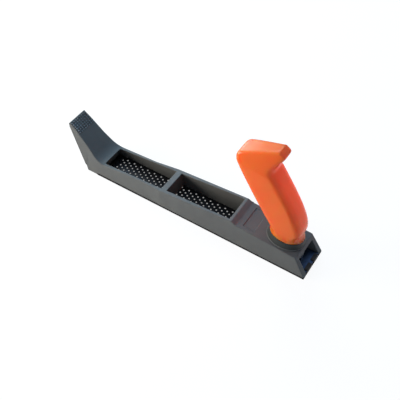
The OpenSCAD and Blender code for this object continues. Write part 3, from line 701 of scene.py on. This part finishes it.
def hole_places(blade):
    """Centres of the punched holes: rows along the blade, each shifted from its neighbour."""
    # So that rounding drops no row and no hole
    slack = 1e-6
    rows = math.floor((BLADE_HIGH.y - blade.side_margin) / blade.row_pitch + slack)
    first = BLADE_LOW.x + blade.front_margin
    last = BLADE_HIGH.x - blade.rear_margin
    for row in range(-rows, rows + 1):
        x = first + (-row * blade.row_shift) % blade.hole_pitch
        while x <= last + slack * MM:
            yield Vector((x, row * blade.row_pitch, blade.tooth_h)), 0.0
            x += blade.hole_pitch


def tooth_mesh(blade):
    """One tooth: a curved wedge behind its hole with its cutting edge towards the toe."""
    steps, half_sweep = 8, 95
    # The wedge fades towards its two ends, where these shares of its wall and depth are left
    fade, fullness = 0.75, 0.6
    wall_left, depth_left = 0.5, 0.35
    # The cutting edge leans towards the toe by this share of the hole
    lean_share = 0.12
    inner = blade.hole_d / 2
    form = bmesh.new()
    rings = []
    for i in range(steps + 1):
        turn = mix(-half_sweep, half_sweep, i / steps)
        spread = math.cos(math.radians(turn * fade)) ** fullness
        out = Vector((math.cos(math.radians(turn)), math.sin(math.radians(turn)), 0))
        root = inner + blade.tooth_wall * mix(wall_left, 1.0, spread)
        deep = Vector((0, 0, -blade.tooth_h * mix(depth_left, 1.0, spread)))
        lean = Vector((-lean_share * blade.hole_d * spread, 0, 0))
        rings.append([out * inner, out * root, out * (inner + blade.tooth_edge) + deep + lean,
                      out * inner + deep + lean])
    ring_loft(form, rings)
    bmesh.ops.recalc_face_normals(form, faces=form.faces)
    return to_mesh(form, "tooth")


def punched_tree(tooth):
    """A plate cut from its outline with a hole at every point, and a tooth below each hole."""
    tree, given = node_tree("Punched plate", [
        "Length", "Width", "Centre", "Thickness", "Hole", "Level"])
    up = add(tree, "ShaderNodeCombineXYZ", {0: given["Centre"], 2: given["Level"]})
    outline = add(tree, "GeometryNodeCurvePrimitiveQuadrilateral", {
        "Width": given["Length"], "Height": given["Width"]})
    outline = add(tree, "GeometryNodeTransform", {
        "Geometry": outline.outputs["Curve"], "Translation": up.outputs["Vector"]})
    radius = add(tree, "ShaderNodeMath", {0: given["Hole"], 1: 0.5}, operation="MULTIPLY")
    ring = add(tree, "GeometryNodeCurvePrimitiveCircle", {
        "Resolution": 16, "Radius": radius.outputs[0]})
    rings = add(tree, "GeometryNodeInstanceOnPoints", {
        "Points": given["Geometry"], "Instance": ring.outputs["Curve"]})
    rings = add(tree, "GeometryNodeRealizeInstances", {"Geometry": rings.outputs["Instances"]})
    drawn = add(tree, "GeometryNodeJoinGeometry", {
        0: [outline.outputs["Geometry"], rings.outputs["Geometry"]]})
    level = add(tree, "ShaderNodeCombineXYZ", {2: given["Level"]})
    sheet = add(tree, "GeometryNodeFillCurve", {"Curve": drawn.outputs["Geometry"]})
    sheet = add(tree, "GeometryNodeTransform", {
        "Geometry": sheet.outputs["Mesh"], "Translation": level.outputs["Vector"]})
    wall = add(tree, "GeometryNodeExtrudeMesh", {
        "Mesh": sheet.outputs["Geometry"], "Offset Scale": given["Thickness"],
        "Individual": False})
    back = add(tree, "GeometryNodeFlipFaces", {"Mesh": sheet.outputs["Geometry"]})
    whole = add(tree, "GeometryNodeJoinGeometry", {
        0: [wall.outputs["Mesh"], back.outputs["Mesh"]]})
    whole = add(tree, "GeometryNodeMergeByDistance", {
        "Geometry": whole.outputs["Geometry"], "Distance": WELD})
    part = add(tree, "GeometryNodeObjectInfo", {"Object": tooth})
    teeth = add(tree, "GeometryNodeInstanceOnPoints", {
        "Points": given["Geometry"], "Instance": part.outputs["Geometry"]})
    both = add(tree, "GeometryNodeJoinGeometry", {
        0: [whole.outputs["Geometry"], teeth.outputs["Instances"]]})
    close_tree(tree, both.outputs["Geometry"], given["Material"])
    return tree


def extruded(form, outline, y_a, y_b):
    """A closed plate from an outline of X and Z, between two Y positions."""
    ring_loft(form, [[Vector((p.x, y, p.y)) for p in outline] for y in (y_a, y_b)])


def blade_ends(blade):
    """The front lip and the two rear hooks, folded from the blade's steel."""
    form = bmesh.new()
    low, high = blade.tooth_h, blade.tooth_h + blade.thick
    front, rear = BLADE_LOW.x, BLADE_HIGH.x
    # Outer radius of the folds, and the points along one
    bend, steps = blade.thick * 1.5, 6
    lip_root, lip_back = front + 4 * bend, front + blade.thick
    lip_top = high + blade.lip_h
    lip = corner(Vector((lip_root, low)), Vector((front, low)), Vector((front, lip_top)),
                 bend, steps)
    lip += [Vector((front, lip_top)), Vector((lip_back, lip_top)), Vector((lip_back, high)),
            Vector((lip_root, high)), Vector((lip_root, low))]
    extruded(form, lip, -blade.lip_w / 2, blade.lip_w / 2)
    hook_top = high + blade.hook_gap
    x_a, z_top = rear - blade.hook_len, hook_top + blade.thick
    corners = [Vector((x_a, z_top)), Vector((rear, z_top)), Vector((rear, low)),
               Vector((x_a, low))]
    hook = [Vector((x_a, low)), Vector((x_a, high)), Vector((rear - blade.thick, high)),
            Vector((rear - blade.thick, hook_top)), Vector((x_a, hook_top)), corners[0]]
    hook += corner(corners[0], corners[1], corners[2], bend, steps)
    hook += corner(corners[1], corners[2], corners[3], bend, steps)
    shelf = [Vector((x_a, low)), Vector((rear - bend, low)), Vector((rear - bend, high)),
             Vector((x_a, high))]
    for side in (-1, 1):
        extruded(form, hook, side * blade.hook_notch / 2, side * blade.hook_half)
        extruded(form, shelf, side * blade.hook_half, side * BLADE_HIGH.y)
    bmesh.ops.recalc_face_normals(form, faces=form.faces)
    return form


class RASPPLANE_OT_blade(bpy.types.Operator):
    """Punch the rasp blade, raise its teeth and fold its lip and hooks"""
    bl_idname = "rasp_plane.blade"
    bl_label = "Rasp blade"

    def execute(self, context):
        settings = context.scene.rasp_plane
        blade = settings.blade
        black = finish("blade_black", settings)
        places = list(hole_places(blade))
        obj = new_piece("punched_blade", points_mesh("punched_blade", places))
        tooth = new_piece("tooth", tooth_mesh(blade))
        length = BLADE_HIGH.x - BLADE_LOW.x - blade.hook_len
        run_tree(obj, punched_tree(tooth), {
            "Length": length, "Width": BLADE_HIGH.y - BLADE_LOW.y,
            "Centre": BLADE_LOW.x + length / 2, "Thickness": blade.thick,
            "Hole": blade.hole_d, "Level": blade.tooth_h, "Material": black})
        bpy.data.objects.remove(tooth)
        if len(obj.data.polygons) < len(places):
            raise RuntimeError("the punched plate came out empty")
        form = blade_ends(blade)
        form.from_mesh(obj.data)
        obj.data = to_mesh(form, "punched_blade")
        shade(obj, black, sharp_deg=35)
        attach(obj, "frame")
        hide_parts("rasp_blade")
        return {"FINISHED"}


def handle_shape(h):
    """Functions that give the handle's front, rear and half widths at a height."""
    # The least half width of an end, and how far below its sharp corner the top ends
    least_half, under_top = 0.3 * MM, 0.3 * MM
    notch = -h.foot_len / 2 + h.foot_inset
    rear = notch + h.grip_foot_depth
    brow = Vector((notch - h.grip_h * math.tan(h.grip_lean), h.foot_h + h.grip_h))
    beak_top = brow + h.top_len * Vector((math.cos(h.top_slope), math.sin(h.top_slope)))
    beak_low = beak_top + Vector((h.beak_lean, -h.beak_h))
    neck = Vector((brow.x + h.neck_depth, brow.y - h.neck_drop))

    def front_line(t):
        """A point of the grip's front at a share of its height."""
        return Vector((mix(notch, brow.x, t) - h.grip_bow * math.sin(math.pi * t),
                       mix(h.foot_h, brow.y, t)))

    def belly(t):
        """How far the grip's back bulges at a share of its height."""
        return h.grip_belly * math.sin(math.pi * t ** h.belly_share)

    # Points of the curves as (height, place). The foot's flare draws in at three heights, and
    # the grip's front stops short of the brow's arc so that the curve doesn't swing.
    samples, arc_steps = 16, 12
    arc_start = 1 - 1.2 * h.brow_r * math.cos(h.grip_lean) / h.grip_h
    grip_from, grip_to, arc_from = 0.04, arc_start - 0.06, arc_start - 0.04
    front_flare = [(0.0, -h.foot_len / 2), (h.foot_h * 0.45, mix(-h.foot_len / 2, notch, 0.55)),
                   (h.foot_h * 0.85, notch + 0.1 * MM)]
    front_grip = [front_line(mix(grip_from, grip_to, i / samples)) for i in range(samples + 1)]
    front_arc = corner(front_line(arc_from), brow, beak_top, h.brow_r, arc_steps)
    front_points = (front_flare + [(p.y, p.x) for p in front_grip + front_arc]
                    + [(beak_top.y, beak_top.x)])
    rear_flare = [(0.0, h.foot_len / 2), (h.foot_h * 0.5, mix(h.foot_len / 2, rear, 0.65))]
    rear_grip = [
        (mix(h.foot_h, neck.y - 4 * MM, t), mix(rear, neck.x + 0.4 * MM, t) + belly(t))
        for t in (i / samples for i in range(samples + 1))]
    # The hollow between the grip's back and the beak
    hollow = [(neck.y, neck.x), (neck.y + 3 * MM, neck.x + 0.5 * MM),
              (neck.y + 7 * MM, mix(neck.x, beak_low.x, 0.28))]
    rear_points = rear_flare + rear_grip + hollow + [
        (beak_low.y, beak_low.x), (beak_top.y, beak_top.x + under_top)]
    grip_half = smooth_curve([
        (0.0, h.foot_w / 2), (h.foot_h * 0.5, mix(h.foot_w / 2, h.grip_foot_half, 0.7)),
        (h.foot_h, h.grip_foot_half), (h.foot_h * 5, mix(h.grip_foot_half, h.grip_top_half, 0.75)),
        (neck.y, h.grip_top_half)])

    def share(u):
        """The share of the top face's length that lies in front of a place."""
        return min(1, (u - brow.x) / (beak_top.x - brow.x))

    def side_at(u, v):
        """Half width of the handle at a place and a height, under the top face's edge."""
        flat = mix(h.top_front_half, h.top_rear_half, share(u - h.brow_r))
        below = mix(brow.y, beak_top.y, share(u)) - v
        return min(grip_half(v), flat + h.edge_r + max(0, below) * h.flare)

    # How much of the grip, the brow and the beak there is at a height, from 0 to 1
    brow_low, brow_high = brow.y - h.brow_r * 1.5, brow.y + h.brow_r / 2
    in_grip = smooth_curve([(0.0, 0.0), (h.foot_h, 1.0)])
    in_brow = smooth_curve([(brow_low, 0.0), (brow_high, 1.0)])
    in_beak = smooth_curve([(neck.y - 3 * MM, 0.0), (beak_low.y, 1.0)])
    # Half widths of the flat faces of the brow and of the beak's end
    brow_flat = smooth_curve([(brow.y - h.brow_r, 0.0), (brow_high, h.top_front_half),
                              (beak_top.y, h.top_rear_half)])
    beak_flat = smooth_curve([(beak_low.y, h.top_rear_half), (beak_top.y, h.top_rear_half / 2)])

    def front_end(v, w):
        """Half width of the blunt front, and the run and fullness of its rounding."""
        grip = max(w - mix(h.foot_w / 2, h.front_r, in_grip(v)), least_half)
        run = mix(h.foot_len / 2, h.front_len, in_grip(v))
        return (mix(grip, min(brow_flat(v), w), in_brow(v)),
                mix(run, h.edge_r * 2, in_brow(v)), 2.0)

    def rear_end(v, w):
        """The same for the rear."""
        grip = max(w - mix(h.foot_w / 2, h.rear_r, in_grip(v)), least_half)
        run = mix(h.foot_len / 2, h.rear_len, in_grip(v))
        return (mix(grip, min(beak_flat(v), w), in_beak(v)),
                mix(run, h.edge_r * 1.5, in_beak(v)), mix(2.0, h.rear_full, in_grip(v)))

    return {
        "front": smooth_curve(front_points),
        "rear": smooth_curve(rear_points),
        "front_end": front_end,
        "rear_end": rear_end,
        "side": side_at,
        "top": beak_top.y - under_top,
    }


def rounded(depth, w, end):
    """Half width at a depth behind a rounded end, where the sides are w apart."""
    flat, run, fullness = end
    flat = min(flat, w)
    left = 1 - min(max(depth / run, 0), 1)
    return flat + (w - flat) * (1 - left ** fullness) ** (1 / fullness)


def handle_ring(shape, v, half_steps):
    """One level outline of the handle, never thinner than half a millimetre."""
    least = 0.5 * MM
    front = shape["front"](v)
    rear = max(shape["rear"](v), front + least)
    half = []
    for i in range(half_steps + 1):
        u = mix(front, rear, 0.5 - 0.5 * math.cos(math.pi * i / half_steps))
        w = max(shape["side"](u, v), least)
        half.append((u, min(rounded(u - front, w, shape["front_end"](v, w)),
                            rounded(rear - u, w, shape["rear_end"](v, w)))))
    return ([Vector((u, w, v)) for u, w in half]
            + [Vector((u, -w, v)) for u, w in reversed(half)])


class RASPPLANE_OT_handle(bpy.types.Operator):
    """Loft the pistol handle and round its edges"""
    bl_idname = "rasp_plane.handle"
    bl_label = "Handle"

    def execute(self, context):
        settings = context.scene.rasp_plane
        shape = handle_shape(settings.handle)
        levels, half_steps = 140, 28
        form = bmesh.new()
        ring_loft(form, [handle_ring(shape, shape["top"] * i / levels, half_steps)
                         for i in range(levels + 1)])
        bmesh.ops.recalc_face_normals(form, faces=form.faces)
        form.transform(seat_matrix(settings.seat, settings.seat.collar_h))
        obj = new_piece("moulded_handle", to_mesh(form, "moulded_handle"))
        # The remesh rounds nothing by itself, and gives the smoothing a skin of even cells
        even = obj.modifiers.new("Even skin", "REMESH")
        even.mode = "VOXEL"
        even.voxel_size = 0.7 * MM
        soften = obj.modifiers.new("Soft edges", "SMOOTH")
        soften.factor = 0.5
        soften.iterations = 6
        plain_mesh(obj)
        shade(obj, finish("handle_orange", settings), sharp_deg=180)
        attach(obj, "frame")
        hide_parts("handle")
        return {"FINISHED"}


def oval(half_x, half_y, z, steps=96):
    """Points of an oval at a height."""
    turns = (2 * math.pi * i / steps for i in range(steps))
    return [Vector((half_x * math.cos(t), half_y * math.sin(t), z)) for t in turns]


class RASPPLANE_OT_collar(bpy.types.Operator):
    """Form the oval collar with its bead and its bolt hole"""
    bl_idname = "rasp_plane.collar"
    bl_label = "Handle collar"

    def execute(self, context):
        settings = context.scene.rasp_plane
        seat = settings.seat
        half_x, half_y = settings.handle.foot_len / 2, settings.handle.foot_w / 2
        spigot_x, spigot_y = half_x - seat.spigot_inset, half_y - seat.spigot_inset
        foot_x, foot_y = half_x + seat.collar_step, half_y + seat.collar_step
        edge, bead_steps, edge_steps = 0.5 * MM, 8, 4
        rings = [oval(spigot_x, spigot_y, -seat.spigot_h), oval(spigot_x, spigot_y, 0)]
        for i in range(bead_steps + 1):
            turn = math.pi * i / bead_steps
            out = seat.bead_step * math.sin(turn)
            z = seat.bead_h * (0.5 - 0.5 * math.cos(turn))
            rings.append(oval(foot_x + out, foot_y + out, z))
        for inset, rise in ((seat.groove, 0), (seat.groove, 0.5 * seat.groove), (0, seat.groove)):
            rings.append(oval(foot_x - inset, foot_y - inset, seat.bead_h + rise))
        for i in range(edge_steps + 1):
            turn = math.pi / 2 * i / edge_steps
            inset = edge * (1 - math.cos(turn))
            z = seat.collar_h - edge + edge * math.sin(turn)
            rings.append(oval(half_x - inset, half_y - inset, z))
        bore = seat.bore_d / 2
        rings += [oval(bore, bore, seat.collar_h), oval(bore, bore, -seat.spigot_h)]
        form = bmesh.new()
        ring_loft(form, rings, closed=True)
        bmesh.ops.recalc_face_normals(form, faces=form.faces)
        obj = new_piece("moulded_collar", to_mesh(form, "moulded_collar"))
        # The bead at the foot has the body's grey, and the wall above it is darker as painted
        # shade from the handle
        low = [face.index for face in obj.data.polygons if face.center.z < seat.bead_h]
        obj.data.transform(seat_matrix(seat))
        shade(obj, finish("collar wall", settings), sharp_deg=35)
        obj.data.materials.append(finish("body_grey", settings))
        for index in low:
            obj.data.polygons[index].material_index = 1
        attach(obj, "frame")
        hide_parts("handle_collar")
        return {"FINISHED"}


class RASPPLANE_OT_hardware(bpy.types.Operator):
    """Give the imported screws, washers, nut, slide and insert their metal finishes"""
    bl_idname = "rasp_plane.hardware"
    bl_label = "Hardware"

    def execute(self, context):
        settings = context.scene.rasp_plane
        slots = {part["node"]: part["material_slot"] for part in frame["record"]["subparts"]}
        for name, obj in frame["nodes"].items():
            if obj.hide_render:
                continue
            obj.data.materials.clear()
            obj.data.materials.append(finish(slots[name], settings))
        return {"FINISHED"}


def soft_lamp(name, place, target, width, watts, colour, spread=180):
    """A square lamp that faces its target, with a beam as wide as its spread in degrees."""
    data = bpy.data.lights.new(name, "AREA")
    data.size = width
    data.energy = watts
    data.color = colour
    data.spread = math.radians(spread)
    lamp = bpy.data.objects.new(name, data)
    lamp.location = place
    lamp.rotation_euler = (Vector(target) - Vector(place)).to_track_quat("-Z", "Y").to_euler()
    bpy.context.scene.collection.objects.link(lamp)
    return lamp


def aim_camera(stage):
    """The camera of the photograph, which looks at its target from an azimuth and a height."""
    flat = math.cos(stage.elevation)
    back = Vector((math.sin(stage.azimuth) * flat, -math.cos(stage.azimuth) * flat,
                   math.sin(stage.elevation)))
    data = bpy.data.cameras.new("camera")
    data.lens = stage.lens
    data.sensor_width = SENSOR_MM
    data.clip_end = CLIP_END
    camera = bpy.data.objects.new("camera", data)
    camera.location = Vector((stage.target_x, stage.target_y, 0)) + back * stage.distance
    camera.rotation_mode = "QUATERNION"
    camera.rotation_quaternion = (-back).to_track_quat("-Z", "Y")
    bpy.context.scene.collection.objects.link(camera)
    return camera


def studio_air():
    """A world that gives a little cool light and is seen as white."""
    world = bpy.data.worlds.new("studio")
    tree = empty_tree(world)
    air = add(tree, "ShaderNodeBackground", {"Color": AIR_COLOUR, "Strength": AIR_STRENGTH})
    white = add(tree, "ShaderNodeBackground", {"Color": (1.0, 1.0, 1.0, 1.0), "Strength": 1.0})
    shown = add(tree, "ShaderNodeMixShader", {
        0: seen_rays(tree), 1: air.outputs[0], 2: white.outputs[0]})
    add(tree, "ShaderNodeOutputWorld", {"Surface": shown.outputs["Shader"]})
    return world


class RASPPLANE_OT_stage(bpy.types.Operator):
    """Set up the floor, the soft lamps and the camera"""
    bl_idname = "rasp_plane.stage"
    bl_label = "Stage"

    def execute(self, context):
        scene = context.scene
        settings = scene.rasp_plane
        scene.camera = aim_camera(settings.stage)
        form = bmesh.new()
        bmesh.ops.create_grid(form, x_segments=1, y_segments=1, size=settings.stage.floor_w / 2)
        floor = new_piece("floor", to_mesh(form, "floor"))
        floor.data.materials.append(studio_floor(settings.colours))
        lamps = {name: soft_lamp(name, **setup) for name, setup in LAMPS.items()}
        # The glow warms the handle's far side and leaves no spot in its gloss
        lamps["glow"].visible_glossy = False
        scene.world = studio_air()
        scene.view_settings.view_transform = "Standard"
        return {"FINISHED"}


class RASPPLANE_PT_panel(bpy.types.Panel):
    """Sizes, colours and steps of the rasp plane"""
    bl_idname = "RASPPLANE_PT_panel"
    bl_label = "Rasp plane"
    bl_space_type = "VIEW_3D"
    bl_region_type = "UI"
    bl_category = "Rasp plane"

    def draw(self, context):
        settings = context.scene.rasp_plane
        for part in settings.bl_rna.properties:
            if part.type != "POINTER" or part.identifier == "rna_type":
                continue
            box = self.layout.box()
            box.label(text=part.name)
            values = getattr(settings, part.identifier)
            for value in values.bl_rna.properties:
                if value.identifier not in ("rna_type", "name"):
                    box.prop(values, value.identifier)
        for step in STEPS:
            self.layout.operator(step.bl_idname)


GROUPS = [RaspPlaneColours, RaspPlaneBody, RaspPlaneBlade, RaspPlaneHandle, RaspPlaneSeat,
          RaspPlaneStage, RaspPlaneSettings]
STEPS = [RASPPLANE_OT_stage, RASPPLANE_OT_body, RASPPLANE_OT_blade, RASPPLANE_OT_handle,
         RASPPLANE_OT_collar, RASPPLANE_OT_hardware]
CLASSES = GROUPS + STEPS + [RASPPLANE_PT_panel]


def register():
    for cls in CLASSES:
        bpy.utils.register_class(cls)
    bpy.types.Scene.rasp_plane = group(RaspPlaneSettings, "Rasp plane",
                                       "Sizes and colours of the tool")


def unregister():
    del bpy.types.Scene.rasp_plane
    for cls in reversed(CLASSES):
        bpy.utils.unregister_class(cls)


def main():
    register()
    bpy.ops.rasp_plane.stage()
    bpy.ops.rasp_plane.body()
    bpy.ops.rasp_plane.blade()
    bpy.ops.rasp_plane.handle()
    bpy.ops.rasp_plane.collar()
    bpy.ops.rasp_plane.hardware()
    bpy.context.view_layer.update()


if __name__ == "__main__":
    main()
